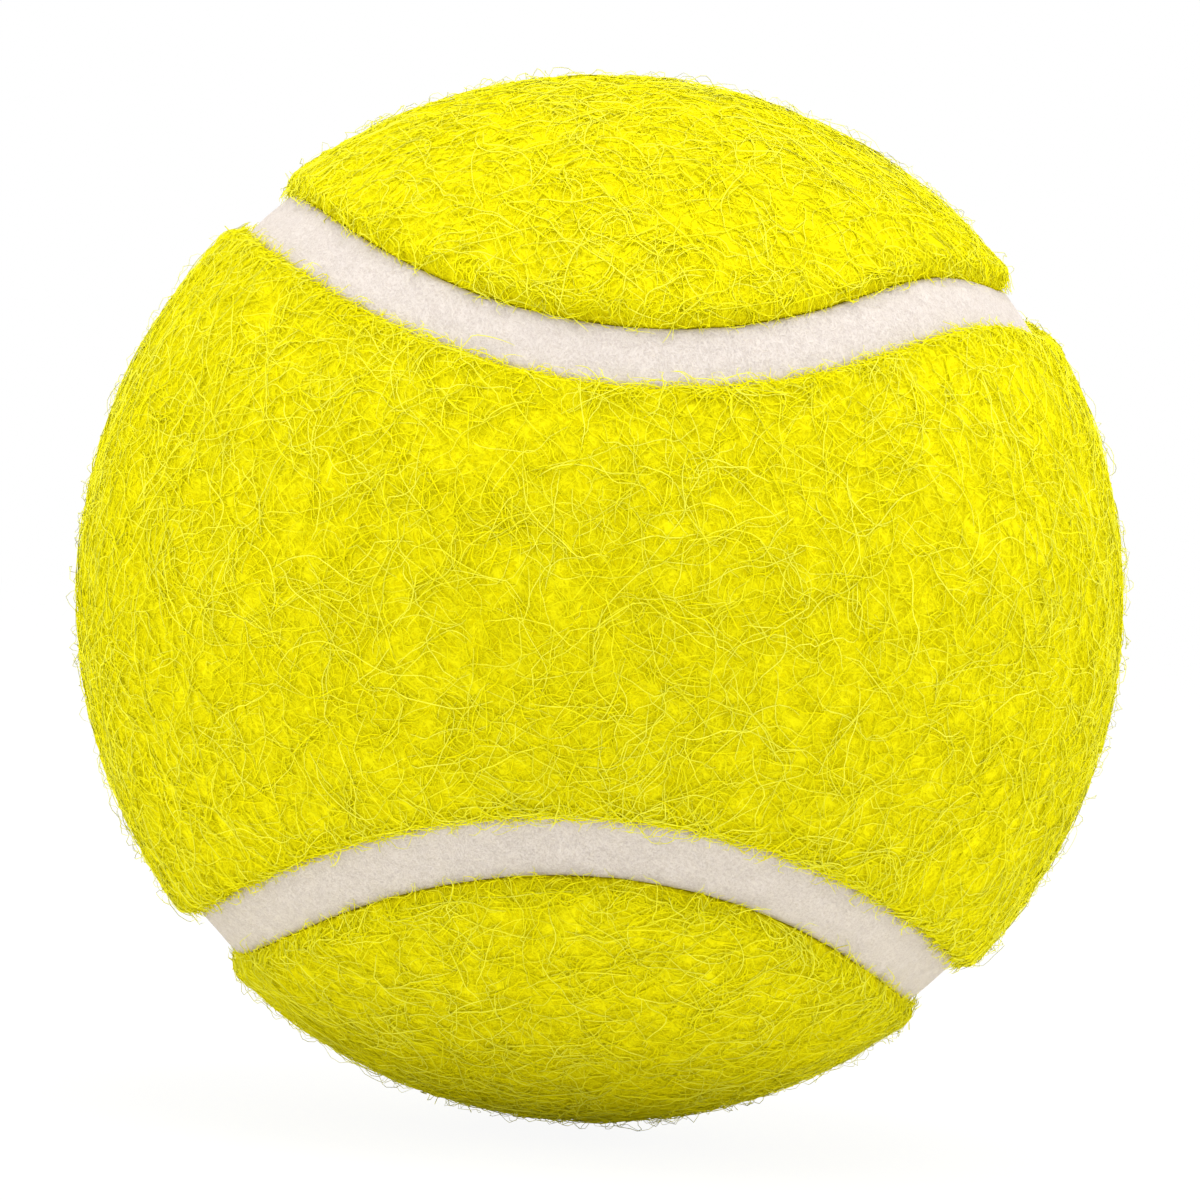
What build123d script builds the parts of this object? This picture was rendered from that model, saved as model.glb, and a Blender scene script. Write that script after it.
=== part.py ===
from build123d import *
import os
from math import cos, exp, radians, sin, sqrt, tau

# Tennis ball. The origin is the ball's centre and +Z is up. Panel A has its neck
# towards -Y and its two lobes at +X and -X. Panel B has its neck towards +Y and its
# two lobes at +Z and -Z, so the ball rests on the middle of panel B's lower lobe.

# Driving dimensions, in millimetres.
ball_diameter = 66.8            # over the nap
nap_thickness = 2.4             # needled fibres, from the base cloth to the outside
base_cloth_thickness = 0.6
cover_cement_thickness = 0.2
core_wall = 3.3
joint_cement_thickness = 0.3    # between the rims of the two half shells
rim_bevel = 0.7                 # inner edge of each rim, where cement gathers
joint_bead_height = 0.8         # cement squeezed out past the core's inner wall
seam_width = 4.4                # between the edges of the two panels
seam_drop = 1.0                 # top of the seam below the outside of the nap
nap_lip_radius = 1.0            # the nap rolls over towards the seam
seam_edge_radius = 0.5
neck_inset = 0.59               # by which the seam line narrows each neck

# Above panel A's right lobe the laid seam sags out of its true line, into that panel.
seam_sag = 4.0                  # at its deepest
seam_sag_turn = radians(50)     # place of the deepest point along the lap curve
seam_sag_fade = radians(10)     # from there to where a third of it is left

# The lap curve: a circle, pulled out of flat by a second one that turns three times.
lap_ratio = 0.366               # second circle over first, sets how long the lobes are
edge_points = 40                # that each panel's edge passes through

# Radii of the layers, from the outside in.
ball_radius = ball_diameter / 2
seam_radius = ball_radius - seam_drop
base_cloth_radius = ball_radius - nap_thickness
cover_cement_radius = base_cloth_radius - base_cloth_thickness
core_radius = cover_cement_radius - cover_cement_thickness
core_inner_radius = core_radius - core_wall

# The radial walls that cut the cover run past both sides of every layer.
wall_overreach = 2.0

# Small step along a curve, in radians, from which its direction is taken.
turn_step = 1e-4


def lap_point(turn):
    """Direction of the plain lap curve at an angle, as a vector of length one."""
    x = cos(turn) - lap_ratio * cos(3 * turn)
    y = 2 * sqrt(lap_ratio) * cos(2 * turn)
    z = sin(turn) + lap_ratio * sin(3 * turn)
    return Vector(x, y, z).normalized()


def across(curve, turn):
    """The unit vector on the ball's surface that points across a curve."""
    along = curve(turn + turn_step) - curve(turn - turn_step)
    return curve(turn).cross(along).normalized()


def seam_point(turn):
    """Direction of the seam's middle line: the lap curve, drawn in at both necks, with its sag."""
    sag = seam_sag * exp(-(((turn - seam_sag_turn) / seam_sag_fade) ** 2))
    angle = (neck_inset * cos(6 * turn) - sag) / ball_radius
    return lap_point(turn) * cos(angle) - across(lap_point, turn) * sin(angle)


def edge_point(turn, side):
    """Direction of one panel's edge, half the seam's width from its middle line."""
    angle = side * (seam_width / 2) / ball_radius
    return seam_point(turn) * cos(angle) + across(seam_point, turn) * sin(angle)


def panel_edge(side, radius):
    """Closed curve along one panel's edge, at a distance from the ball's centre."""
    turns = [tau * index / edge_points for index in range(edge_points)]
    return Spline([edge_point(turn, side) * radius for turn in turns], periodic=True)


def panel_wall(side):
    """Radial wall along one panel's edge, through every layer of the cover."""
    inner = panel_edge(side, core_radius - wall_overreach)
    outer = panel_edge(side, ball_radius + wall_overreach)
    return Face.make_surface_from_curves(inner.edge(), outer.edge())


wall_beside_panel_a = panel_wall(1)
wall_beside_panel_b = panel_wall(-1)


def cover_layer(inner_radius, outer_radius):
    """Hollow sphere cut by both walls, as panel A, the strip between, and panel B."""
    with BuildPart() as layer:
        with BuildSketch(Plane.YZ):
            with BuildLine():
                CenterArc((0, 0), outer_radius, -90, 180)
                Line((0, outer_radius), (0, inner_radius))
                CenterArc((0, 0), inner_radius, -90, 180)
                Line((0, -inner_radius), (0, -outer_radius))
            make_face()
        revolve(axis=Axis.Z)
        split(bisect_by=wall_beside_panel_a, keep=Keep.ALL)
        split(bisect_by=wall_beside_panel_b, keep=Keep.ALL)
    middle_radius = (inner_radius + outer_radius) / 2
    markers = [
        Vector(0, -middle_radius, 0),
        seam_point(0) * middle_radius,
        Vector(0, middle_radius, 0),
    ]
    return [next(piece for piece in layer.solids() if piece.is_inside(at)) for at in markers]


def outer_cuts(builder, count):
    """The outermost edges that the walls cut: one round a panel, two along the strip."""
    curves = builder.edges().filter_by(GeomType.BSPLINE)
    return curves.sort_by(lambda edge: (edge @ 0.5).length)[-count:]


os.makedirs("parts", exist_ok=True)

# Core: two moulded half shells with flat rims, bevelled on the inside.
joint_half = joint_cement_thickness / 2
rim_outside = sqrt(core_radius**2 - joint_half**2)
bevel_foot = core_inner_radius + rim_bevel
bevel_top = joint_half + rim_bevel
bevel_start = sqrt(core_inner_radius**2 - bevel_top**2)

with BuildPart() as core_half_top:
    with BuildSketch(Plane.YZ):
        with BuildLine():
            RadiusArc((rim_outside, joint_half), (0, core_radius), -core_radius)
            Line((0, core_radius), (0, core_inner_radius))
            RadiusArc((0, core_inner_radius), (bevel_start, bevel_top), core_inner_radius)
            Line((bevel_start, bevel_top), (bevel_foot, joint_half))
            Line((bevel_foot, joint_half), (rim_outside, joint_half))
        make_face()
    revolve(axis=Axis.Z)
core_half_top.part.label = "core_half_top"
export_step(core_half_top.part, "parts/core_half_top.step")

with BuildPart() as core_half_bottom:
    mirror(core_half_top.part, about=Plane.XY)
core_half_bottom.part.label = "core_half_bottom"
export_step(core_half_bottom.part, "parts/core_half_bottom.step")

# Cement between the rims, which fills both bevels and stands out inside as a bead.
with BuildPart() as core_joint_cement:
    with BuildSketch(Plane.YZ):
        with BuildLine():
            RadiusArc((rim_outside, -joint_half), (rim_outside, joint_half), -core_radius)
            Line((rim_outside, joint_half), (bevel_foot, joint_half))
            Line((bevel_foot, joint_half), (bevel_start, bevel_top))
            ThreePointArc(
                (bevel_start, bevel_top),
                (core_inner_radius - joint_bead_height, 0),
                (bevel_start, -bevel_top),
            )
            Line((bevel_start, -bevel_top), (bevel_foot, -joint_half))
            Line((bevel_foot, -joint_half), (rim_outside, -joint_half))
        make_face()
    revolve(axis=Axis.Z)
core_joint_cement.part.label = "core_joint_cement"
export_step(core_joint_cement.part, "parts/core_joint_cement.step")

# Adhesive over the whole core, under the panels and the seam.
with BuildPart() as cover_cement:
    with BuildSketch(Plane.YZ):
        with BuildLine():
            CenterArc((0, 0), cover_cement_radius, -90, 180)
            Line((0, cover_cement_radius), (0, core_radius))
            CenterArc((0, 0), core_radius, -90, 180)
            Line((0, -core_radius), (0, -cover_cement_radius))
        make_face()
    revolve(axis=Axis.Z)
cover_cement.part.label = "cover_cement"
export_step(cover_cement.part, "parts/cover_cement.step")

# Base cloth of the two dog-bone panels.
cloth_a, _, cloth_b = cover_layer(cover_cement_radius, base_cloth_radius)

with BuildPart() as panel_a_backing:
    add(cloth_a)
panel_a_backing.part.label = "panel_a_backing"
export_step(panel_a_backing.part, "parts/panel_a_backing.step")

with BuildPart() as panel_b_backing:
    add(cloth_b)
panel_b_backing.part.label = "panel_b_backing"
export_step(panel_b_backing.part, "parts/panel_b_backing.step")

# Nap of the two panels, rolled over along the seam.
nap_a, _, nap_b = cover_layer(base_cloth_radius, ball_radius)

with BuildPart() as panel_a_felt:
    add(nap_a)
    fillet(outer_cuts(panel_a_felt, 1), radius=nap_lip_radius)
panel_a_felt.part.label = "panel_a_felt"
export_step(panel_a_felt.part, "parts/panel_a_felt.step")

with BuildPart() as panel_b_felt:
    add(nap_b)
    fillet(outer_cuts(panel_b_felt, 1), radius=nap_lip_radius)
panel_b_felt.part.label = "panel_b_felt"
export_step(panel_b_felt.part, "parts/panel_b_felt.step")

# Seam: one closed rubber strip that stands on the cement and fills the gap.
_, strip, _ = cover_layer(cover_cement_radius, seam_radius)

with BuildPart() as seam_strip:
    add(strip)
    fillet(outer_cuts(seam_strip, 2), radius=seam_edge_radius)
seam_strip.part.label = "seam_strip"
export_step(seam_strip.part, "parts/seam_strip.step")
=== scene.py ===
# %% [markdown]
# # A tennis ball, from its frame to its fuzz
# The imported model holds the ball's nine solids at their real size. This lesson dresses
# them: two cloth panels get a needled nap with real strands, the seam gets its finely
# grained rubber, and the hidden core, cement and base cloth get finishes of their own.

# %% Load the frame
import bpy
import bmesh
import math
import numpy as np
from mathutils import Matrix, Vector


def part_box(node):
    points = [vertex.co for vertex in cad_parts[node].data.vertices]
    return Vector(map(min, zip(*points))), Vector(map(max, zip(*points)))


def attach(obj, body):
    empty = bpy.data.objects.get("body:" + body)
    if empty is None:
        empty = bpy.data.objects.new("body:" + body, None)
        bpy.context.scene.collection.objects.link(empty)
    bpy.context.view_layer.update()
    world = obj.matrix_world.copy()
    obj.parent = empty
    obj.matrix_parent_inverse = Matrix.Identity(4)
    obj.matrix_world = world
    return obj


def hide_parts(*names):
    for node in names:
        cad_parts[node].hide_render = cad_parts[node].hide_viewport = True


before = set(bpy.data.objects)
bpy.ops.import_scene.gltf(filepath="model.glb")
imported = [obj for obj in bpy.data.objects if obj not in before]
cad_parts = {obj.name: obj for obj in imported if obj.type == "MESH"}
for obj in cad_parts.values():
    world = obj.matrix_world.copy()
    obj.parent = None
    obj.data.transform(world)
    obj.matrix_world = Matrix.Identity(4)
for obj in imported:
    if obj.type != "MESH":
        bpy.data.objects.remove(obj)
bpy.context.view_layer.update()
MM = 0.001
ball_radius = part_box("panel_b_felt")[1][2]
print("ball radius in mm", round(ball_radius / MM, 2))

# %% [markdown]
# ## The lap line
# The two panels are cut like dog bones and lap round each other. The gap between them
# follows one closed curve: a big circle with a smaller one added that turns three times
# as fast. A drawn spline would do as well, but the formula gives the line's direction
# at every point, which the nap, the seam and the strands all need.

# %% The lap line as a formula
lap_ratio = 0.366               # size of the added circle, as a share of the big one
neck_inset = 0.59 * MM          # the line weaves in and out by this much, six times round
seam_width = 4.4 * MM
seam_drop = 1.0 * MM            # from the outside of the nap down to the top of the strip
seam_sag = 4.0 * MM             # over the right lobe the laid seam sags into panel A
seam_sag_turn = math.radians(50)
seam_sag_fade = math.radians(10)
base_cloth_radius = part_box("panel_b_backing")[1][2]
cement_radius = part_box("cover_cement")[1][2]
turn_step = 1e-4                # the line's direction comes from two points this far off


def unit(vectors):
    return vectors / np.linalg.norm(vectors, axis=-1, keepdims=True)


def lap_points(turns):
    """Directions from the ball's centre to the plain lap line."""
    x = np.cos(turns) - lap_ratio * np.cos(3 * turns)
    y = 2 * math.sqrt(lap_ratio) * np.cos(2 * turns)
    z = np.sin(turns) + lap_ratio * np.sin(3 * turns)
    return unit(np.stack([x, y, z], axis=-1))


def across(curve, turns):
    """Directions on the ball at right angles to a curve."""
    along = curve(turns + turn_step) - curve(turns - turn_step)
    return unit(np.cross(curve(turns), along))


def seam_points(turns):
    """Directions to the seam's middle line: the lap line with its weave and its sag."""
    turns = np.mod(turns, math.tau)
    sag = seam_sag * np.exp(-(((turns - seam_sag_turn) / seam_sag_fade) ** 2))
    angle = ((neck_inset * np.cos(6 * turns) - sag) / ball_radius)[..., None]
    return lap_points(turns) * np.cos(angle) - across(lap_points, turns) * np.sin(angle)


def beside_seam(turns, offset):
    """Directions at a distance from the seam's middle line, measured on the nap."""
    angle = np.asarray(offset / ball_radius)[..., None]
    return seam_points(turns) * np.cos(angle) + across(seam_points, turns) * np.sin(angle)


measured = seam_points(np.linspace(0, math.tau, 2000))
seam_length = np.linalg.norm(np.diff(measured, axis=0), axis=1).sum() * ball_radius
print("seam length in mm", round(seam_length / MM, 1))

# %% [markdown]
# ## Small helpers for node trees
# Every tree below is built in code. These helpers add a node, fill its sockets with
# values or links, and give back the output, so that a formula stays short.


# %% Node helpers
def add_node(tree, kind, inputs=(), **settings):
    made = tree.nodes.new(kind)
    for name, value in settings.items():
        setattr(made, name, value)
    for key, value in dict(inputs).items():
        if isinstance(value, bpy.types.NodeSocket):
            tree.links.new(value, made.inputs[key])
        else:
            made.inputs[key].default_value = value
    return made


def calc(tree, operation, *values):
    return add_node(tree, "ShaderNodeMath", enumerate(values), operation=operation).outputs[0]


def plus(tree, first, second):
    return calc(tree, "ADD", first, second)


def minus(tree, first, second):
    return calc(tree, "SUBTRACT", first, second)


def times(tree, first, second):
    return calc(tree, "MULTIPLY", first, second)


def vector_calc(tree, operation, *values):
    made = add_node(tree, "ShaderNodeVectorMath", enumerate(values), operation=operation)
    return made.outputs["Value" if operation == "DOT_PRODUCT" else "Vector"]


def scaled(tree, vector, factor):
    made = add_node(tree, "ShaderNodeVectorMath", {0: vector, "Scale": factor}, operation="SCALE")
    return made.outputs["Vector"]


def parts_of(tree, vector):
    return add_node(tree, "ShaderNodeSeparateXYZ", {0: vector}).outputs


def mixed(tree, value, low, high, start=0.0, end=1.0):
    """From low to high while the value goes from start to end, in a straight line."""
    inputs = {"Value": value, "From Min": start, "From Max": end, "To Min": low, "To Max": high}
    return add_node(tree, "ShaderNodeMapRange", inputs).outputs[0]


def eased(tree, value, start, end, low, high):
    """The same with a soft start and a soft end."""
    inputs = {"Value": value, "From Min": start, "From Max": end, "To Min": low, "To Max": high}
    return add_node(tree, "ShaderNodeMapRange", inputs, interpolation_type="SMOOTHSTEP").outputs[0]


middle_value = (0.5, 0.5, 0.5)  # taken off values from 0 to 1, it leaves a push either way


def noise(tree, place, scale, detail):
    """A noise texture's outputs: the first is a value, "Color" holds three of them."""
    return add_node(tree, "ShaderNodeTexNoise",
                    {"Vector": place, "Scale": scale, "Detail": detail}).outputs


def named(tree, label, kind="FLOAT_VECTOR"):
    """Reads a value that is stored on the points."""
    return add_node(tree, "GeometryNodeInputNamedAttribute", {"Name": label},
                    data_type=kind).outputs[0]


def new_tree(name, kind, inputs, outputs):
    """A tree with named inputs and outputs, and its two end nodes.

    A socket is given as its kind, or as a number, which is its first value as well.
    """
    tree = bpy.data.node_groups.new(name, kind)
    for direction, sockets in (("INPUT", inputs), ("OUTPUT", outputs)):
        for label, value in sockets.items():
            is_kind = isinstance(value, str)
            socket_kind = value if is_kind else {float: "Float", int: "Int"}[type(value)]
            socket = tree.interface.new_socket(label, in_out=direction,
                                               socket_type="NodeSocket" + socket_kind)
            if not is_kind:
                socket.default_value = value
    return tree, tree.nodes.new("NodeGroupInput").outputs, tree.nodes.new("NodeGroupOutput")


def end_tree(tree, geometry, finish, result):
    """Every geometry tree ends in real points with one material."""
    joined = add_node(tree, "GeometryNodeRealizeInstances", {0: geometry}).outputs[0]
    painted = add_node(tree, "GeometryNodeSetMaterial", {"Geometry": joined, "Material": finish})
    tree.links.new(painted.outputs[0], result.inputs[0])


# Only the trees need these values, so the finished meshes don't keep them.
helper_values = ("nap", "root_spot", "luck", "chance", "aim", "along", "id")


def as_plain_mesh(source, tree, settings, name):
    """Runs a geometry tree over an object and keeps the result as a mesh of its own."""
    modifier = source.modifiers.new("shape", "NODES")
    modifier.node_group = tree
    for item in tree.interface.items_tree:
        if item.item_type == "SOCKET" and item.in_out == "INPUT" and item.name in settings:
            modifier[item.identifier] = settings[item.name]
    bpy.context.view_layer.update()
    evaluated = source.evaluated_get(bpy.context.evaluated_depsgraph_get())
    mesh = bpy.data.meshes.new_from_object(evaluated)
    source.modifiers.remove(modifier)
    for label in [layer.name for layer in mesh.attributes]:
        if label in helper_values:
            mesh.attributes.remove(mesh.attributes[label])
    made = bpy.data.objects.new(name, mesh)
    bpy.context.scene.collection.objects.link(made)
    mesh.name = name
    return made


def triangles(piece):
    return sum(len(polygon.vertices) - 2 for polygon in piece.data.polygons)


# %% [markdown]
# ## Shared shader groups
# Wool, cotton and rubber each have a fine structure that is too small for geometry.
# `tangle` stretches a noise along six directions in turn and draws a thin line where it
# passes through its middle value, which reads as short fibres that cross. `grain` is a
# soft speckle for rubber. Both read Object coordinates, so they stay still on the piece.

# %% Tangle and grain groups
fibre_turns = [(0.0, 0.0, 0.3), (0.9, 0.2, 1.3), (1.7, 0.8, 2.4), (0.4, 1.5, 0.9),
               (2.2, 0.5, 1.9), (1.2, 2.1, 0.1)]
fibre_stretch = 9.0             # length of the noise's cells, in widths
fibre_shift = 7.3               # each layer reads the noise at a place of its own
fibre_sway = 1.2 * MM           # bends the lines, so that no fibre runs straight
fibre_sway_scale = 500.0
pit_edges = (0.38, 0.60)        # a pit is full at the first value and gone at the second


def fibre_layer(tree, place, turn, shift, width):
    """Fibres that run one way: lines where a stretched noise crosses its middle value."""
    stretched = add_node(tree, "ShaderNodeMapping",
                         {"Vector": place, "Location": (shift, 0.0, -shift), "Rotation": turn,
                          "Scale": (1.0, fibre_stretch, 1.0)}, vector_type="TEXTURE").outputs[0]
    off_middle = calc(tree, "ABSOLUTE", minus(tree, noise(tree, stretched, 1.0, 1.0)[0], 0.5))
    return eased(tree, off_middle, 0.0, width, 1.0, 0.0)


tangle, given, result = new_tree(
    "tangle", "ShaderNodeTree",
    {"Line Scale": 2600.0, "Line Width": 0.045, "Pit Scale": 700.0},
    {"Lines": "Float", "Pits": "Float"},
)
place = tangle.nodes.new("ShaderNodeTexCoord").outputs["Object"]
sway = scaled(tangle, noise(tangle, place, fibre_sway_scale, 1.0)["Color"], fibre_sway)
drawn = scaled(tangle, vector_calc(tangle, "ADD", place, sway), given["Line Scale"])
lines = None
for number, turn in enumerate(fibre_turns):
    layer = fibre_layer(tangle, drawn, turn, fibre_shift * number, given["Line Width"])
    lines = layer if lines is None else calc(tangle, "MAXIMUM", lines, layer)
pits = eased(tangle, noise(tangle, place, given["Pit Scale"], 3.0)[0], *pit_edges, 0.0, 1.0)
tangle.links.new(lines, result.inputs["Lines"])
tangle.links.new(pits, result.inputs["Pits"])

grain, given, result = new_tree(
    "grain", "ShaderNodeTree",
    {"Fine Scale": 4000.0, "Broad Scale": 300.0},
    {"Fine": "Float", "Broad": "Float"},
)
place = grain.nodes.new("ShaderNodeTexCoord").outputs["Object"]
for label, detail in (("Fine", 2.0), ("Broad", 3.0)):
    speckle = noise(grain, place, given[label + " Scale"], detail)[0]
    grain.links.new(speckle, result.inputs[label])
print("groups", tangle.name, grain.name)

# %% [markdown]
# ## The finishes
# The Principled shader stays in each material. Wool scatters light more than it shines,
# so the nap and its strands have next to no specular light and a trace of sheen. Values
# that don't vary are set on the shader's own sockets.


# %% Helpers for materials
def new_material(name, roughness, **sockets):
    material = bpy.data.materials.new(name)
    material.use_nodes = True
    tree = material.node_tree
    shader = tree.nodes["Principled BSDF"]
    shader.inputs["Roughness"].default_value = roughness
    for socket, value in sockets.items():
        shader.inputs[socket.replace("_", " ")].default_value = value
    return material, tree, shader


def blend(tree, factor, first, second):
    made = add_node(tree, "ShaderNodeMix", {"Factor": factor}, data_type="RGBA")
    for index, colour in ((6, first), (7, second)):
        if isinstance(colour, bpy.types.NodeSocket):
            tree.links.new(colour, made.inputs[index])
        else:
            made.inputs[index].default_value = (*colour, 1.0)
    return made.outputs[2]


def use_group(tree, group, **values):
    made = tree.nodes.new("ShaderNodeGroup")
    made.node_tree = group
    for label, value in values.items():
        made.inputs[label.replace("_", " ")].default_value = value
    return made.outputs


def add_colour(tree, shader, colour):
    tree.links.new(colour, shader.inputs["Base Color"])


def add_bump(tree, shader, height, distance):
    made = add_node(tree, "ShaderNodeBump",
                    {"Height": height, "Distance": distance, "Strength": 1.0})
    tree.links.new(made.outputs[0], shader.inputs["Normal"])


# %% [markdown]
# The ground of the nap is drawn with fibres of two sizes, pale on a yellow with painted shade
# in its pits. The strands on top of it are brighter, and each has a tint of its own.

# %% Nap and strands
wool_sheen = (1.0, 0.96, 0.06, 1.0)
optic_yellow = (0.84, 0.735, 0.001)
# painted shade: the pits' yellow is darker and more orange than the dye, as hollows look
pit_shade_yellow = (0.77, 0.66, 0.001)
pale_yellow = (0.965, 0.90, 0.006)
line_strength = 0.85            # how far a drawn fibre takes the pale yellow
fine_line_share = 0.8           # the fine lines count a little less than the coarse ones
fine_pit_share = 0.5            # height of the fine pits against that of the lines

nap_ground, tree, shader = new_material(
    "nap_ground", 0.95, Sheen_Weight=0.03, Sheen_Roughness=0.5, Sheen_Tint=wool_sheen,
    Specular_IOR_Level=0.0)
fuzz = use_group(tree, tangle, Line_Scale=1000.0, Line_Width=0.022, Pit_Scale=1600.0)
fine_fuzz = use_group(tree, tangle, Line_Scale=2200.0, Line_Width=0.030, Pit_Scale=2600.0)
# the coarse pits take the darker yellow, which is painted shade, not relief
ground = blend(tree, fuzz["Pits"], pit_shade_yellow, optic_yellow)
fibres = calc(tree, "MAXIMUM", fuzz["Lines"], times(tree, fine_fuzz["Lines"], fine_line_share))
add_colour(tree, shader, blend(tree, times(tree, fibres, line_strength), ground, pale_yellow))
add_bump(tree, shader, plus(tree, fibres, times(tree, fine_fuzz["Pits"], fine_pit_share)),
         0.030 * MM)


def strand_material(name, quiet, bright):
    """A strand has one tint. Its place between the two colours is the height in its map."""
    material, tree, shader = new_material(
        name, 0.85, Sheen_Weight=0.05, Sheen_Roughness=0.4, Sheen_Tint=wool_sheen,
        Specular_IOR_Level=0.02)
    own_map = add_node(tree, "ShaderNodeUVMap", uv_map="OFBake").outputs[0]
    add_colour(tree, shader, blend(tree, parts_of(tree, own_map)["Y"], quiet, bright))
    return material


nap_low_strand = strand_material("nap_low_strand", (0.96, 0.87, 0.001), (0.985, 0.93, 0.008))
nap_top_strand = strand_material("nap_top_strand", (0.98, 0.92, 0.004), (0.99, 0.975, 0.08))
print("nap in", nap_ground.name, nap_low_strand.name, nap_top_strand.name)

# %% [markdown]
# The strip's rubber is pale and dusty. Its colour is built up in layers: a fine dust, a
# broad cloud, a few darker lines, and lighter lines for the wool that sticks to it.

# %% Seam rubber
dust_dark, dust_light = (0.685, 0.60, 0.55), (0.80, 0.715, 0.66)
dust_edges = (0.30, 0.68)
cloud_colour, cloud_strength = (0.75, 0.665, 0.615), 0.4
cloud_edges = (0.35, 0.65)
shade_colour, shade_strength = (0.56, 0.475, 0.43), 0.35
flock_colour, flock_strength = (0.88, 0.82, 0.77), 0.45
flock_height = 0.4              # height of the lighter lines against that of the dust

seam_rubber, tree, shader = new_material("grained_seam_rubber", 0.8, Specular_IOR_Level=0.25)
speckle = use_group(tree, grain, Fine_Scale=5200.0, Broad_Scale=240.0)
flock = use_group(tree, tangle, Line_Scale=5200.0, Pit_Scale=2400.0)
shade = use_group(tree, tangle, Line_Scale=4300.0, Pit_Scale=1500.0)
dust = eased(tree, speckle["Fine"], *dust_edges, 0.0, 1.0)
cloud = eased(tree, speckle["Broad"], *cloud_edges, 0.0, cloud_strength)
plain = blend(tree, dust, dust_dark, dust_light)
plain = blend(tree, cloud, plain, cloud_colour)
plain = blend(tree, times(tree, shade["Lines"], shade_strength), plain, shade_colour)
plain = blend(tree, times(tree, flock["Lines"], flock_strength), plain, flock_colour)
add_colour(tree, shader, plain)
add_bump(tree, shader, plus(tree, speckle["Fine"], times(tree, flock["Lines"], flock_height)),
         0.035 * MM)
print("seam in", seam_rubber.name)

# %% [markdown]
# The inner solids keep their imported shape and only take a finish. The rubber and the
# cement are the same speckle at other sizes, and the cloth is two crossed waves.

# %% Hidden finishes
thread_pitch = 0.45 * MM
cloth_dark, cloth_light = (0.52, 0.50, 0.20), (0.82, 0.80, 0.42)


def speckled(name, roughness, scales, colours, relief_from, depth):
    material, tree, shader = new_material(name, roughness)
    speckle = use_group(tree, grain, Fine_Scale=scales[0], Broad_Scale=scales[1])
    add_colour(tree, shader, blend(tree, speckle["Broad"], *colours))
    add_bump(tree, shader, speckle[relief_from], depth)
    return material


core_rubber = speckled("moulded_core_rubber", 0.6, (2500.0, 120.0),
                       ((0.035, 0.035, 0.036), (0.10, 0.10, 0.10)), "Fine", 0.05 * MM)
cement = speckled("dried_cement", 0.45, (1500.0, 200.0),
                  ((0.50, 0.38, 0.20), (0.70, 0.60, 0.42)), "Broad", 0.08 * MM)

base_cloth, tree, shader = new_material("woven_base_cloth", 0.9)
directions = parts_of(tree, tree.nodes.new("ShaderNodeTexCoord").outputs["Object"])
waves = [calc(tree, "SINE", times(tree, directions[axis], math.tau / thread_pitch))
         for axis in ("X", "Z")]
weave = eased(tree, times(tree, *waves), -1.0, 1.0, 0.0, 1.0)
add_colour(tree, shader, blend(tree, weave, cloth_dark, cloth_light))
add_bump(tree, shader, weave, 0.10 * MM)

hidden_finishes = {
    "core_half_top": core_rubber,
    "core_half_bottom": core_rubber,
    "core_joint_cement": cement,
    "cover_cement": cement,
    "panel_a_backing": base_cloth,
    "panel_b_backing": base_cloth,
}
for node_name, finish in hidden_finishes.items():
    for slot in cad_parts[node_name].material_slots:
        slot.material = finish
    print(node_name, "takes", finish.name)

# %% [markdown]
# ## The ground of the nap
# A panel is a dog bone bent round the ball. Its mesh runs in rings from the cut edge to
# a spine along the middle of the bone, so the cells stay even and no pole is needed.
# The cross-section is closed: the top of the nap, the lip that rolls over at the seam,
# the cut wall, and the underside on the base cloth.

# %% Panel grid
panel_rows = 520                # points in each ring round a panel
lip_radius = 1.0 * MM
lip_steps = 5
lip_nap = 0.5                   # nap share where the lip starts, which grows to 1 on top
top_steps = 34
under_steps = 8
spine_reach = 0.77              # share of the way round that the spine runs in each lobe
weld_distance = 1e-7


def cross_section():
    """(distance in from the cut edge, share of the way to the spine, radius, nap share)."""
    section = [(0.0, k / under_steps, base_cloth_radius, 0.0) for k in range(under_steps, 0, -1)]
    section.append((0.0, 0.0, base_cloth_radius, 0.0))
    for step in range(lip_steps + 1):
        angle = step / lip_steps * math.pi / 2
        inset = lip_radius * (1 - math.cos(angle))
        nap = lip_nap + (1 - lip_nap) * step / lip_steps
        section.append((inset, 0.0, ball_radius - lip_radius * (1 - math.sin(angle)), nap))
    section += [(lip_radius, k / top_steps, ball_radius, 1.0) for k in range(1, top_steps + 1)]
    return section


def turned(start, end, share):
    """Directions part of the way along the great circle from one to another."""
    angle = np.arccos(np.clip((start * end).sum(-1), -1, 1))[:, None]
    return (np.sin((1 - share) * angle) * start + np.sin(share * angle) * end) / np.sin(angle)


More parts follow.
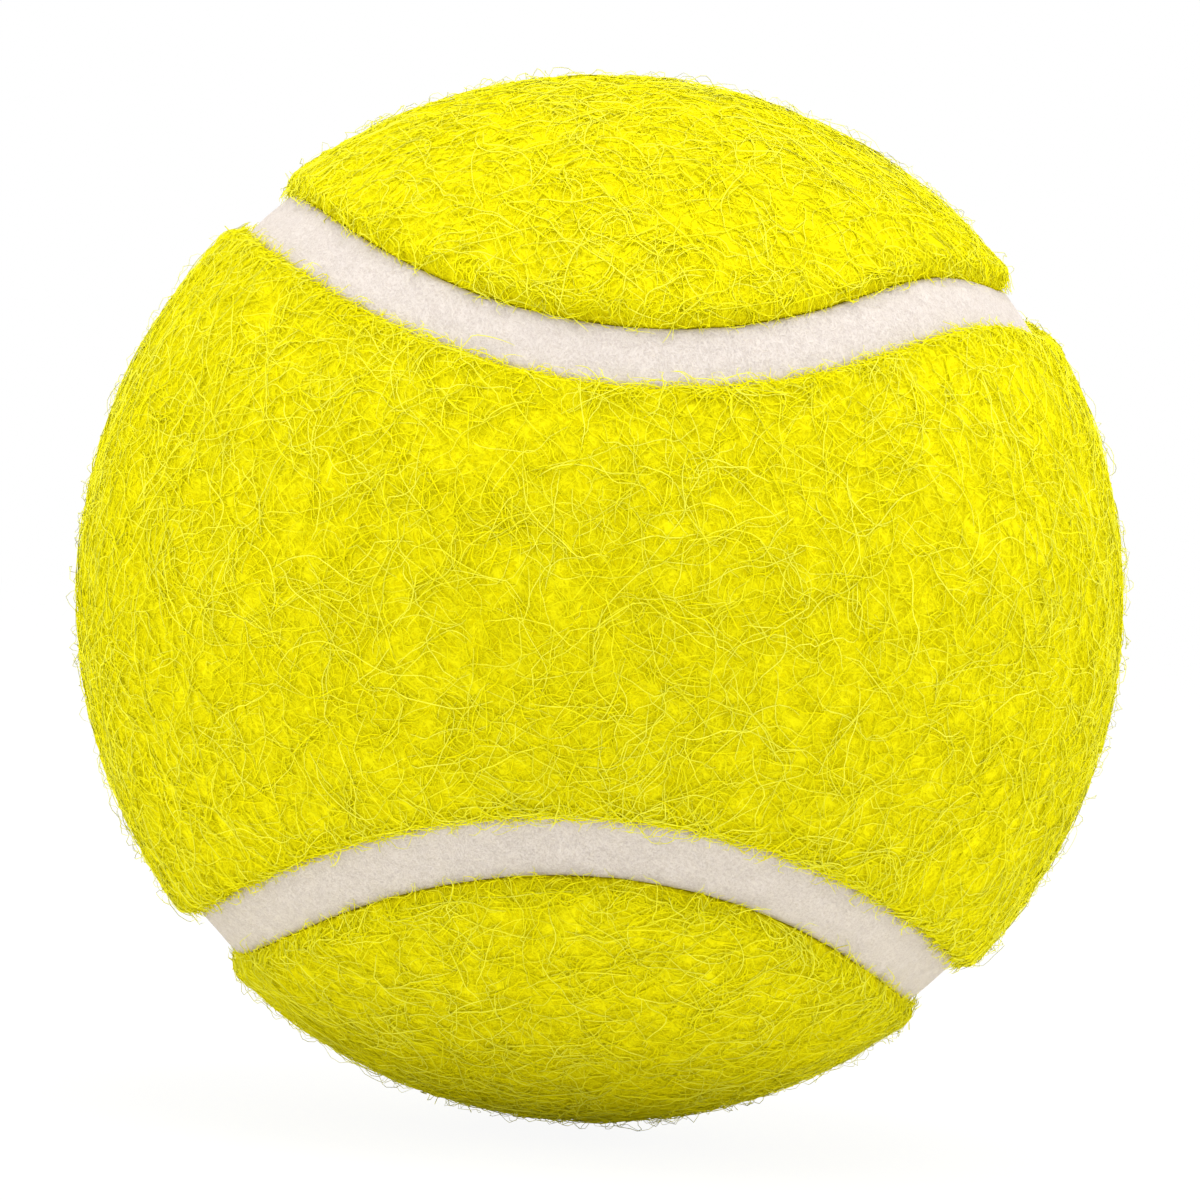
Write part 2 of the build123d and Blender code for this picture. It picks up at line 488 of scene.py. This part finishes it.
def closed_rings(name, rings, nap_share, closed_section):
    """A mesh from rings of points, with its own map and a value for how much nap it has."""
    count, ring_rows = len(rings), len(rings[0])
    points = np.concatenate(rings)
    faces, corners = [], []
    for ring in range(count if closed_section else count - 1):
        after = (ring + 1) % count
        for row in range(ring_rows):
            beyond = (row + 1) % ring_rows
            faces.append((ring * ring_rows + row, ring * ring_rows + beyond,
                          after * ring_rows + beyond, after * ring_rows + row))
            low, high = ring / count, (ring + 1) / count
            left, right = row / ring_rows, (row + 1) / ring_rows
            corners += [(left, low), (right, low), (right, high), (left, high)]
    mesh = bpy.data.meshes.new(name)
    mesh.from_pydata(points.tolist(), [], faces)
    uv = mesh.uv_layers.new(name="OFBake")
    uv.data.foreach_set("uv", np.array(corners, dtype=np.float32).ravel())
    nap = mesh.attributes.new("nap", "FLOAT", "POINT")
    nap.data.foreach_set("value", np.repeat(np.array(nap_share, dtype=np.float32), ring_rows))
    work = bmesh.new()
    work.from_mesh(mesh)
    bmesh.ops.remove_doubles(work, verts=work.verts, dist=weld_distance)
    bmesh.ops.recalc_face_normals(work, faces=work.faces)
    work.to_mesh(mesh)
    work.free()
    for polygon in mesh.polygons:
        polygon.use_smooth = True
    made = bpy.data.objects.new(name, mesh)
    bpy.context.scene.collection.objects.link(made)
    return made


def panel_ground(name, side, first_turn, spine_way):
    """One panel's nap as a closed shell. Its spine lies in the plane through both lobes."""
    turns = first_turn + np.arange(panel_rows) / panel_rows * math.tau
    plain = lap_points(turns)
    swing = np.arctan2(plain @ spine_way, -side * plain[:, 1]) * spine_reach
    spine = np.outer(np.sin(swing), spine_way) + np.outer(-side * np.cos(swing), (0.0, 1.0, 0.0))
    rings, shares = [], []
    for inset, share, radius, nap in cross_section():
        start = beside_seam(turns, side * (seam_width / 2 + inset))
        rings.append(turned(start, spine, share) * radius)
        shares.append(nap)
    return closed_rings(name, rings, shares, closed_section=False)


panel_sides = {"panel_a": 1, "panel_b": -1}
ground_meshes = {
    "panel_a": panel_ground("panel_a_ground", 1, 0.0, np.array((1.0, 0.0, 0.0))),
    "panel_b": panel_ground("panel_b_ground", -1, math.pi / 2, np.array((0.0, 0.0, 1.0))),
}
for panel, ground_mesh in ground_meshes.items():
    work = bmesh.new()
    work.from_mesh(ground_mesh.data)
    volume = work.calc_volume(signed=True) / MM**3
    open_edges = sum(1 for edge in work.edges if not edge.is_manifold)
    work.free()
    print(panel, "ground", triangles(ground_mesh), "triangles", round(volume), "mm3, open edges",
          open_edges)

# %% [markdown]
# ## Relief by a rule
# The needles leave the nap full of small pits and ridges. A Geometry Nodes tree sinks the
# ground a little, so that the strands stand up from it, digs it out along the ball's
# radius by two sizes of noise, and lets each point sway by a third. A stored value says
# how much of the nap there is at each point, so the underside stays clean.

# %% Relief tree
lump_edges = (0.25, 0.70)       # deepest at the first value of the noise, flat at the second
hole_edges = (0.30, 0.62)

relief, given, result = new_tree(
    "relief", "GeometryNodeTree",
    {"Geometry": "Geometry", "Depth": 0.0004, "Sink": 0.0, "Lump Scale": 170.0,
     "Pit Scale": 620.0, "Fine Share": 0.35, "Sway": 0.0002, "Sway Scale": 700.0,
     "Finish": "Material"},
    {"Geometry": "Geometry"},
)
here = relief.nodes.new("GeometryNodeInputPosition").outputs[0]
outward = vector_calc(relief, "NORMALIZE", here)
nap_here = named(relief, "nap", "FLOAT")
lumps = eased(relief, noise(relief, here, given["Lump Scale"], 2.0)[0], *lump_edges, -1.0, 0.0)
holes = eased(relief, noise(relief, here, given["Pit Scale"], 3.0)[0], *hole_edges, -1.0, 0.0)
height = plus(relief, times(relief, lumps, minus(relief, 1.0, given["Fine Share"])),
              times(relief, holes, given["Fine Share"]))
move = minus(relief, times(relief, height, given["Depth"]), given["Sink"])
move = times(relief, move, nap_here)
swing = noise(relief, here, given["Sway Scale"], 2.0)["Color"]
swing = scaled(relief, vector_calc(relief, "SUBTRACT", swing, middle_value),
               times(relief, given["Sway"], times(relief, nap_here, 2.0)))
offset = vector_calc(relief, "ADD", scaled(relief, outward, move), swing)
moved = add_node(relief, "GeometryNodeSetPosition",
                 {"Geometry": given["Geometry"], "Offset": offset}).outputs[0]
end_tree(relief, moved, given["Finish"], result)

nap_relief = {"Sink": 0.15 * MM, "Depth": 0.10 * MM, "Lump Scale": 300.0, "Pit Scale": 900.0,
              "Fine Share": 0.6, "Sway": 0.36 * MM, "Sway Scale": 700.0, "Finish": nap_ground}
panel_naps = {}
for panel, ground_mesh in ground_meshes.items():
    panel_naps[panel] = as_plain_mesh(ground_mesh, relief, nap_relief, panel + "_nap")
    print(panel_naps[panel].name, triangles(panel_naps[panel]), "triangles")

# %% [markdown]
# ## The seam
# The seam is one closed strip of rubber. Its section is carried along the lap line: up
# one side, over a rounded edge, across a top that follows the ball, and down the other
# side. The same relief tree gives it the fine unevenness of moulded rubber.

# %% Seam strip
seam_rows = 1100
seam_top_steps = 22
edge_steps = 4
edge_radius = 0.5 * MM
seam_top = ball_radius - seam_drop
wall_middle = (cement_radius + seam_top) / 2


def seam_section():
    """(distance from the middle line, radius, relief share) round the strip."""
    half = seam_width / 2
    corner = [(half - edge_radius * (1 - math.cos(angle)),
               seam_top - edge_radius * (1 - math.sin(angle)))
              for angle in np.linspace(0, math.pi / 2, edge_steps + 1)]
    flat = np.linspace(half - edge_radius, edge_radius - half, seam_top_steps + 1)[1:-1]
    section = [(half, cement_radius, 0.0), (half, wall_middle, 0.0)]
    section += [(offset, radius, 1.0) for offset, radius in corner]
    section += [(offset, seam_top, 1.0) for offset in flat]
    section += [(-offset, radius, 1.0) for offset, radius in reversed(corner)]
    section += [(-half, wall_middle, 0.0), (-half, cement_radius, 0.0)]
    return section


seam_turns = np.arange(seam_rows) / seam_rows * math.tau
section = seam_section()
rings = [beside_seam(seam_turns, offset) * radius for offset, radius, _ in section]
strip = closed_rings("seam_plain", rings, [share for _, _, share in section],
                     closed_section=True)
seam_relief = {"Depth": 0.06 * MM, "Lump Scale": 300.0, "Pit Scale": 2000.0, "Fine Share": 0.3,
               "Sway": 0.05 * MM, "Sway Scale": 500.0, "Finish": seam_rubber}
seam_band = as_plain_mesh(strip, relief, seam_relief, "seam_band")
print(seam_band.name, triangles(seam_band), "triangles")

# %% [markdown]
# ## Strands
# A new ball's nap is a mat of wool and nylon fibres. Most lie flat and weave in and out,
# some stand off as loops, and those at the cut edges reach a little over the seam. One
# tree makes them all. To know how far a strand is from the seam it needs the seam's line,
# which goes in as points that carry the direction across the line.

# %% Line of the seam, for the strands to measure from
line_points = 1600
line_turns = np.arange(line_points) / line_points * math.tau
line_mesh = bpy.data.meshes.new("seam_line")
line_mesh.from_pydata((seam_points(line_turns) * ball_radius).tolist(), [], [])
line_across = line_mesh.attributes.new("across", "FLOAT_VECTOR", "POINT")
line_across.data.foreach_set(
    "vector", across(seam_points, line_turns).astype(np.float32).ravel())
seam_line = bpy.data.objects.new("seam_line", line_mesh)
bpy.context.scene.collection.objects.link(seam_line)
print("seam line with", len(line_mesh.vertices), "points")

# %% [markdown]
# The tree scatters points on the nap and puts a line on each, whose own points are moved
# to their places at the end. The random values are stored before the lines are there, so
# a whole strand shares them.


# %% Strand tree: points, lines and luck
def stored(tree, geometry, label, value, kind="FLOAT_VECTOR", domain="POINT"):
    made = add_node(tree, "GeometryNodeStoreNamedAttribute",
                    {"Geometry": geometry, "Name": label, "Value": value},
                    data_type=kind, domain=domain)
    return made.outputs[0]


def random_vector(tree, seed):
    """Three random values between 0 and 1 for each point."""
    made = add_node(tree, "FunctionNodeRandomValue", {"Seed": seed}, data_type="FLOAT_VECTOR")
    made.inputs["Min"].default_value = (0.0, 0.0, 0.0)
    made.inputs["Max"].default_value = (1.0, 1.0, 1.0)
    return made.outputs["Value"]


strands, given, result = new_tree(
    "strands", "GeometryNodeTree",
    {"Geometry": "Geometry", "Seam Line": "Object", "Side": 1.0, "Density": 2.0e5,
     "Steps": 12, "Shortest": 0.004, "Longest": 0.009, "Thickness": 0.00006, "Bend": 3.0,
     "Wander": 0.25, "Lowest": -0.0003, "Highest": 0.0002, "Buried Ends": 0.0004,
     "Overhang": 0.0006, "Ball Radius": 0.0334, "Seam Width": 0.0044, "From Nap": 0.6,
     "To Nap": 2.0, "Comb": 0.0, "Held Back": 0.0008, "Reach Power": 2.0,
     "Lip Drop": 0.00085, "Seed": 1, "Finish": "Material"},
    {"Geometry": "Geometry"},
)
nap_share = named(strands, "nap", "FLOAT")
nap_selected = times(strands, calc(strands, "GREATER_THAN", nap_share, given["From Nap"]),
                     calc(strands, "LESS_THAN", nap_share, given["To Nap"]))
scatter = add_node(strands, "GeometryNodeDistributePointsOnFaces",
                   {"Mesh": given["Geometry"], "Selection": nap_selected,
                    "Density": given["Density"], "Seed": given["Seed"]},
                   distribute_method="RANDOM")
spot = strands.nodes.new("GeometryNodeInputPosition").outputs[0]
points = stored(strands, scatter.outputs["Points"], "root_spot",
                vector_calc(strands, "NORMALIZE", spot))
for label, extra in (("luck", 11.0), ("chance", 23.0), ("aim", 37.0)):
    seed = plus(strands, given["Seed"], extra)
    points = stored(strands, points, label, random_vector(strands, seed))
line = add_node(strands, "GeometryNodeCurvePrimitiveLine", {"End": (1.0, 0.0, 0.0)}).outputs[0]
line = add_node(strands, "GeometryNodeResampleCurve",
                {"Curve": line, "Count": given["Steps"]}).outputs[0]
placed = add_node(strands, "GeometryNodeInstanceOnPoints",
                  {"Points": points, "Instance": line}).outputs[0]
curves = add_node(strands, "GeometryNodeRealizeInstances", {0: placed}).outputs[0]
print("the strand tree scatters, with", len(strands.nodes), "nodes so far")

# %% [markdown]
# A strand starts out in a random direction along the ball. Strands at a cut edge are
# combed towards the seam: their heading is pulled that way before it is used.

# %% Strand tree: heading
root_spot = named(strands, "root_spot")
luck = parts_of(strands, named(strands, "luck"))
chance = parts_of(strands, named(strands, "chance"))
aim = vector_calc(strands, "SUBTRACT", named(strands, "aim"), middle_value)
heading = vector_calc(strands, "NORMALIZE",
                      vector_calc(strands, "CROSS_PRODUCT", root_spot, aim))
line_geometry = add_node(strands, "GeometryNodeObjectInfo",
                         {"Object": given["Seam Line"]}).outputs["Geometry"]


def from_seam_line(place, values):
    """Values of the seam line at the point of it that is nearest to a place."""
    nearest = add_node(strands, "GeometryNodeSampleNearest",
                       {"Geometry": line_geometry, "Sample Position": place},
                       domain="POINT").outputs[0]
    found = []
    for value in values:
        made = add_node(strands, "GeometryNodeSampleIndex",
                        {"Geometry": line_geometry, "Index": nearest},
                        data_type="FLOAT_VECTOR", domain="POINT")
        strands.links.new(value, made.inputs["Value"])
        found.append(made.outputs[0])
    return found


line_across_here = named(strands, "across")
root_place = scaled(strands, root_spot, given["Ball Radius"])
root_across = from_seam_line(root_place, [line_across_here])[0]
combed = scaled(strands, root_across, times(strands, given["Side"], given["Comb"]))
heading = vector_calc(strands, "NORMALIZE", vector_calc(strands, "SUBTRACT", heading, combed))
sideways = vector_calc(strands, "CROSS_PRODUCT", root_spot, heading)
print("heading done,", len(strands.nodes), "nodes")

# %% [markdown]
# The straight line is bent into an arc of the strand's own curl, and a noise that runs
# along it lets it wander. The curl is squared with its sign kept, so most strands are
# nearly straight and a few curl up.

# %% Strand tree: bend and wander
least_curl = 0.05               # moves a straight strand off zero, which the arc divides by
luck_spread = 40.0              # sends each strand to its own part of the noise
wander_path = (1.0, 0.7, 0.4)   # the way a strand runs through the noise
wander_length = 2.2             # and how far it runs
wander_detail = 0.6

along = strands.nodes.new("GeometryNodeSplineParameter").outputs["Factor"]
from_middle = minus(strands, along, 0.5)
length = mixed(strands, luck["X"], given["Shortest"], given["Longest"])
signed_luck = minus(strands, times(strands, luck["Y"], 2.0), 1.0)
own_curl = times(strands, signed_luck, calc(strands, "ABSOLUTE", signed_luck))
curl = plus(strands, times(strands, own_curl, given["Bend"]), least_curl)
turn = times(strands, curl, from_middle)
forward = calc(strands, "DIVIDE", calc(strands, "SINE", turn), curl)
aside = calc(strands, "DIVIDE", minus(strands, 1.0, calc(strands, "COSINE", turn)), curl)

own_place = scaled(strands, named(strands, "luck"), luck_spread)
step_along = scaled(strands, wander_path, times(strands, along, wander_length))
drift = noise(strands, vector_calc(strands, "ADD", own_place, step_along), 1.0, wander_detail)
drift = parts_of(strands, vector_calc(strands, "SUBTRACT", drift["Color"], middle_value))
wander = times(strands, given["Wander"], 2.0)
forward = plus(strands, forward, times(strands, drift["X"], wander))
aside = plus(strands, aside, times(strands, drift["Y"], wander))
offset = vector_calc(strands, "ADD",
                     scaled(strands, heading, times(strands, forward, length)),
                     scaled(strands, sideways, times(strands, aside, length)))
on_ball = vector_calc(strands, "NORMALIZE", vector_calc(
    strands, "ADD", scaled(strands, root_spot, given["Ball Radius"]), offset))
print("bend and wander done,", len(strands.nodes), "nodes")

# %% [markdown]
# Each strand has a limit of its own, a little before or beyond the cut edge. What would
# pass the limit is pushed back towards its panel, softly, so that no row forms.

# %% Strand tree: keep the strands to their panel
soft_limit = 0.5 * MM           # however far a strand would go, it passes by less than this

reach = scaled(strands, on_ball, given["Ball Radius"])
line_spot, line_way = from_seam_line(reach, [spot, line_across_here])
inward = scaled(strands, line_way, given["Side"])
gap = vector_calc(strands, "DOT_PRODUCT",
                  vector_calc(strands, "SUBTRACT", reach, line_spot), inward)
inset = minus(strands, gap, calc(strands, "DIVIDE", given["Seam Width"], 2.0))
own_limit = mixed(strands, calc(strands, "POWER", chance["X"], given["Reach Power"]),
                  given["Held Back"], times(strands, given["Overhang"], -1.0))
beyond = calc(strands, "MAXIMUM", minus(strands, own_limit, inset), 0.0)
kept = calc(strands, "DIVIDE", times(strands, beyond, soft_limit),
            plus(strands, beyond, soft_limit))
pushed = minus(strands, beyond, kept)
reach = vector_calc(strands, "ADD", reach, scaled(strands, inward, pushed))
inset = plus(strands, inset, pushed)
on_ball = vector_calc(strands, "NORMALIZE", reach)
print("limit done,", len(strands.nodes), "nodes")

# %% [markdown]
# The same noise lifts a strand up and down through the nap, and its ends dive into the
# ground. Past the lip the nap rolls down to the seam, and the strand follows that round
# profile. The line becomes a three-sided tube that gets thin towards its ends.

# %% Strand tree: lift, roll and thickness
drift_reach = 0.22              # the noise seldom leaves this range about its middle
dive_power = 5.0                # the higher, the nearer to its end a strand starts to dive
least_drop = 0.40               # strands follow the roll by a share between this and 1
taper_share, taper_power = 0.75, 4.0
thickness_range = (0.7, 1.25)
tube_sides = 3

to_end = calc(strands, "ABSOLUTE", times(strands, from_middle, 2.0))
lift = mixed(strands, drift["Z"], given["Lowest"], given["Highest"], -drift_reach, drift_reach)
dive = times(strands, calc(strands, "POWER", to_end, dive_power), given["Buried Ends"])
lift = minus(strands, lift, dive)
past_roll = mixed(strands, inset, 1.0, 0.0, 0.0, lip_radius)
roll_depth = minus(strands, 1.0, calc(strands, "SQRT", minus(
    strands, 1.0, times(strands, past_roll, past_roll))))
own_drop = times(strands, given["Lip Drop"], mixed(strands, chance["Z"], least_drop, 1.0))
final_radius = minus(strands, plus(strands, given["Ball Radius"], lift),
                     times(strands, roll_depth, own_drop))
curves = stored(strands, curves, "along", along, "FLOAT")
curves = add_node(strands, "GeometryNodeSetPosition",
                  {"Geometry": curves,
                   "Position": scaled(strands, on_ball, final_radius)}).outputs[0]
ring = add_node(strands, "GeometryNodeCurvePrimitiveCircle",
                {"Resolution": tube_sides, "Radius": given["Thickness"]}).outputs[0]
taper = minus(strands, 1.0, times(strands, taper_share,
                                  calc(strands, "POWER", to_end, taper_power)))
thick = times(strands, taper, mixed(strands, luck["Z"], *thickness_range))
tubes = add_node(strands, "GeometryNodeCurveToMesh",
                 {"Curve": curves, "Profile Curve": ring, "Fill Caps": True,
                  "Scale": thick}).outputs[0]
own_map = add_node(strands, "ShaderNodeCombineXYZ",
                   {0: named(strands, "along", "FLOAT"), 1: chance["Y"]}).outputs[0]
tubes = stored(strands, tubes, "OFBake", own_map, "FLOAT2", "CORNER")
tubes = add_node(strands, "GeometryNodeSetShadeSmooth", {"Geometry": tubes}).outputs[0]
end_tree(strands, tubes, given["Finish"], result)
print("strand tree done,", len(strands.nodes), "nodes")

# %% [markdown]
# Seven kinds of strand make up the nap. Five grow all over it, from short fuzz to long
# strands and loops. The edge and the fringe grow only on the lip, which the nap share
# picks out. A thin tube shades like a hard wire, so its normals lean towards the ball's
# own: then the strands catch the light together, as soft fibres do.

# %% Grow the strands
strand_kinds = {
    "fuzz": {"Density": 0.88e6, "Steps": 6, "Shortest": 1.3 * MM, "Longest": 2.8 * MM,
             "Thickness": 0.027 * MM, "Bend": 4.5, "Wander": 0.30, "Lowest": -0.16 * MM,
             "Highest": 0.12 * MM, "Buried Ends": 0.15 * MM, "Overhang": 0.5 * MM,
             "Finish": nap_low_strand},
    "low": {"Density": 0.66e6, "Steps": 8, "Shortest": 2.5 * MM, "Longest": 5.5 * MM,
            "Thickness": 0.032 * MM, "Bend": 3.2, "Wander": 0.20, "Lowest": -0.16 * MM,
            "Highest": 0.10 * MM, "Buried Ends": 0.3 * MM, "Overhang": 0.6 * MM,
            "Finish": nap_low_strand},
    "middle": {"Density": 0.44e6, "Steps": 11, "Shortest": 3.5 * MM, "Longest": 7.5 * MM,
               "Thickness": 0.028 * MM, "Bend": 3.2, "Wander": 0.18, "Lowest": -0.14 * MM,
               "Highest": 0.14 * MM, "Buried Ends": 0.40 * MM, "Overhang": 0.9 * MM,
               "Finish": nap_top_strand},
    "long": {"Density": 0.17e6, "Steps": 18, "Shortest": 5.0 * MM, "Longest": 10.0 * MM,
             "Thickness": 0.030 * MM, "Bend": 3.2, "Wander": 0.13, "Lowest": -0.12 * MM,
             "Highest": 0.22 * MM, "Buried Ends": 0.50 * MM, "Overhang": 1.1 * MM,
             "Finish": nap_top_strand},
    "loop": {"Density": 0.20e6, "Steps": 11, "Shortest": 2.2 * MM, "Longest": 5.0 * MM,
             "Thickness": 0.019 * MM, "Bend": 4.5, "Wander": 0.22, "Lowest": -0.20 * MM,
             "Highest": 0.72 * MM, "Buried Ends": 0.6 * MM, "Overhang": 0.9 * MM,
             "Finish": nap_top_strand},
    "edge": {"Density": 5.4e6, "Steps": 8, "Shortest": 1.2 * MM, "Longest": 3.2 * MM,
             "Thickness": 0.030 * MM, "Bend": 3.8, "Wander": 0.30, "Lowest": -0.08 * MM,
             "Highest": 0.14 * MM, "Buried Ends": 0.05 * MM, "Overhang": 0.75 * MM,
             "From Nap": 0.50, "To Nap": 0.99, "Comb": 0.55, "Held Back": 0.0,
             "Reach Power": 1.0, "Lip Drop": 1.15 * MM, "Finish": nap_low_strand},
    "fringe": {"Density": 1.6e6, "Steps": 10, "Shortest": 2.4 * MM, "Longest": 5.0 * MM,
               "Thickness": 0.030 * MM, "Bend": 3.2, "Wander": 0.24, "Lowest": -0.08 * MM,
               "Highest": 0.18 * MM, "Buried Ends": 0.15 * MM, "Overhang": 0.85 * MM,
               "From Nap": 0.50, "To Nap": 0.99, "Comb": 0.30, "Held Back": 0.10 * MM,
               "Reach Power": 1.2, "Finish": nap_top_strand},
}
first_seeds = {"panel_a": 7, "panel_b": 57}
seed_step = 100
outward_share = 0.6             # how far the strands' normals lean to the ball's own


def shade_outward(piece):
    """Turns the shading of thin strands part of the way to the ball's own."""
    mesh = piece.data
    places = np.empty(3 * len(mesh.vertices), dtype=np.float32)
    own = np.empty_like(places)
    mesh.vertices.foreach_get("co", places)
    mesh.vertex_normals.foreach_get("vector", own)
    leaning = ((1 - outward_share) * own.reshape(-1, 3)
               + outward_share * unit(places.reshape(-1, 3)))
    mesh.normals_split_custom_set_from_vertices(unit(leaning).tolist())


pieces = []
for panel, side in panel_sides.items():
    common = {"Seam Line": seam_line, "Side": float(side), "Ball Radius": ball_radius,
              "Seam Width": seam_width}
    for number, (kind, settings) in enumerate(strand_kinds.items()):
        settings = settings | common | {"Seed": seed_step * number + first_seeds[panel]}
        grown = as_plain_mesh(ground_meshes[panel], strands, settings, f"{panel}_{kind}_strands")
        shade_outward(grown)
        pieces.append(grown)
        print(grown.name, triangles(grown), "triangles")

# %% [markdown]
# ## Joining the frame
# Every new piece rides on the one body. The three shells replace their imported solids.

# %% Ride and replace
for panel, nap in panel_naps.items():
    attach(nap, "root")
    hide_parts(panel + "_felt")
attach(seam_band, "root")
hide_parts("seam_strip")
for piece in pieces:
    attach(piece, "root")
for helper in (*ground_meshes.values(), strip, seam_line):
    bpy.data.objects.remove(helper)
print(len(panel_naps) + 1, "shells and", len(pieces), "strand pieces ride on the ball")

# %% [markdown]
# ## Floor and room
# The ball stands on a white floor in a white room. What the camera sees of them is
# plain white, and what lights the ball is a little darker, so that its edges keep their
# colour. The light path tells the two apart.

# %% Floor and backdrop
floor_half = 3.0
floor_gap = 1.0 * MM            # room for the strands that reach past the ball's radius
floor_colour = (0.92, 0.92, 0.92, 1.0)
glow_strength = 1.03
glow_share = 0.90               # the rest of what the camera sees is lit, and takes a shadow
room_level = 0.80


def seen_directly(tree):
    """1 for what the camera sees, also in a gloss or through glass, and 0 for other light."""
    rays = tree.nodes.new("ShaderNodeLightPath").outputs
    seen = calc(tree, "MAXIMUM", rays["Is Camera Ray"], rays["Is Glossy Ray"])
    return calc(tree, "MAXIMUM", seen, rays["Is Transmission Ray"])


floor_mesh = bpy.data.meshes.new("floor")
floor_mesh.from_pydata(
    [(x * floor_half, y * floor_half, -ball_radius - floor_gap)
     for x, y in ((-1, -1), (1, -1), (1, 1), (-1, 1))], [], [(0, 1, 2, 3)])
floor = bpy.data.objects.new("floor", floor_mesh)
bpy.context.scene.collection.objects.link(floor)

floor_white, tree, shader = new_material(
    "floor_white", 1.0, Base_Color=floor_colour, Specular_IOR_Level=0.0)
glow = add_node(tree, "ShaderNodeEmission", {"Strength": glow_strength})
mix = add_node(tree, "ShaderNodeMixShader",
               {0: times(tree, seen_directly(tree), glow_share), 1: shader.outputs[0],
                2: glow.outputs[0]})
tree.links.new(mix.outputs[0], tree.nodes["Material Output"].inputs["Surface"])
floor_mesh.materials.append(floor_white)

world = bpy.data.worlds.new("white_room")
bpy.context.scene.world = world
world.use_nodes = True
tree = world.node_tree
background = tree.nodes["Background"]
background.inputs["Color"].default_value = (1.0, 1.0, 1.0, 1.0)
strength = plus(tree, room_level, times(tree, seen_directly(tree), 1.0 - room_level))
tree.links.new(strength, background.inputs["Strength"])
print("floor", floor_white.name, "in", world.name)

# %% [markdown]
# ## Lamps
# A broad soft lamp overhead makes the top a little brighter than the bottom, and one on
# each side keeps the edges of the ball as light as its middle, as in a light tent.

# %% Lamps
lamps = {                       # place, size and watts
    "overhead": ((0.05, -0.22, 0.75), 0.6, 3.7),
    "left_side": ((-0.65, 0.0, 0.15), 0.3, 0.75),
    "right_side": ((0.65, 0.0, 0.15), 0.3, 0.75),
}
for name, (place, size, watts) in lamps.items():
    data = bpy.data.lights.new(name, "AREA")
    data.shape, data.size, data.energy = "DISK", size, watts
    lamp = bpy.data.objects.new(name, data)
    lamp.location = place
    lamp.rotation_euler = (-Vector(place)).to_track_quat("-Z", "Y").to_euler()
    bpy.context.scene.collection.objects.link(lamp)
print("lamps", *lamps)

# %% [markdown]
# ## Camera
# The camera's turn was found by fitting the seam's run to the picture of the ball. It
# stands ten radii away, and its lens makes the ball as large as it is in the picture.

# %% Camera
fitted_turns = ((0.7138, "Z"), (0.027, "X"), (0.0186, "Y"), (math.radians(-45), "Z"))
distance_in_radii = 10
ball_pixels = 522.8             # radius of the ball's outline in the frame
frame_pixels = 1200
sensor_width = 36               # in mm, as is the drop
camera_drop = 0.10

view_turn = Matrix.Identity(3)
for angle, axis in fitted_turns:
    view_turn = view_turn @ Matrix.Rotation(angle, 3, axis)
view_turn = view_turn @ Matrix(((1, 0, 0), (0, 0, 1), (0, -1, 0)))
camera_turn = view_turn.transposed()
up, back = camera_turn.col[1], camera_turn.col[2]
camera_data = bpy.data.cameras.new("camera")
camera_data.sensor_width = sensor_width
half_view = math.tan(math.asin(1 / distance_in_radii))
camera_data.lens = ball_pixels / half_view / frame_pixels * sensor_width
camera_data.clip_start = 0.01
camera = bpy.data.objects.new("camera", camera_data)
camera_place = back * distance_in_radii * ball_radius - up * camera_drop * MM
camera.matrix_world = Matrix.Translation(camera_place) @ camera_turn.to_4x4()
bpy.context.scene.collection.objects.link(camera)
bpy.context.scene.camera = camera
bpy.context.scene.view_settings.view_transform = "Standard"
print("camera looks along", [round(value, 3) for value in -back])

# %% [markdown]
# ## Triangles
# The strands may reach a little past the imported solids. The last cell counts the triangles of
# all that is shown.

# %% Triangles, and the end
shown = [piece for piece in bpy.data.objects if piece.type == "MESH" and piece is not floor
         and piece.name not in ("panel_a_felt", "panel_b_felt", "seam_strip")]
print("triangles in all", sum(triangles(piece) for piece in shown))
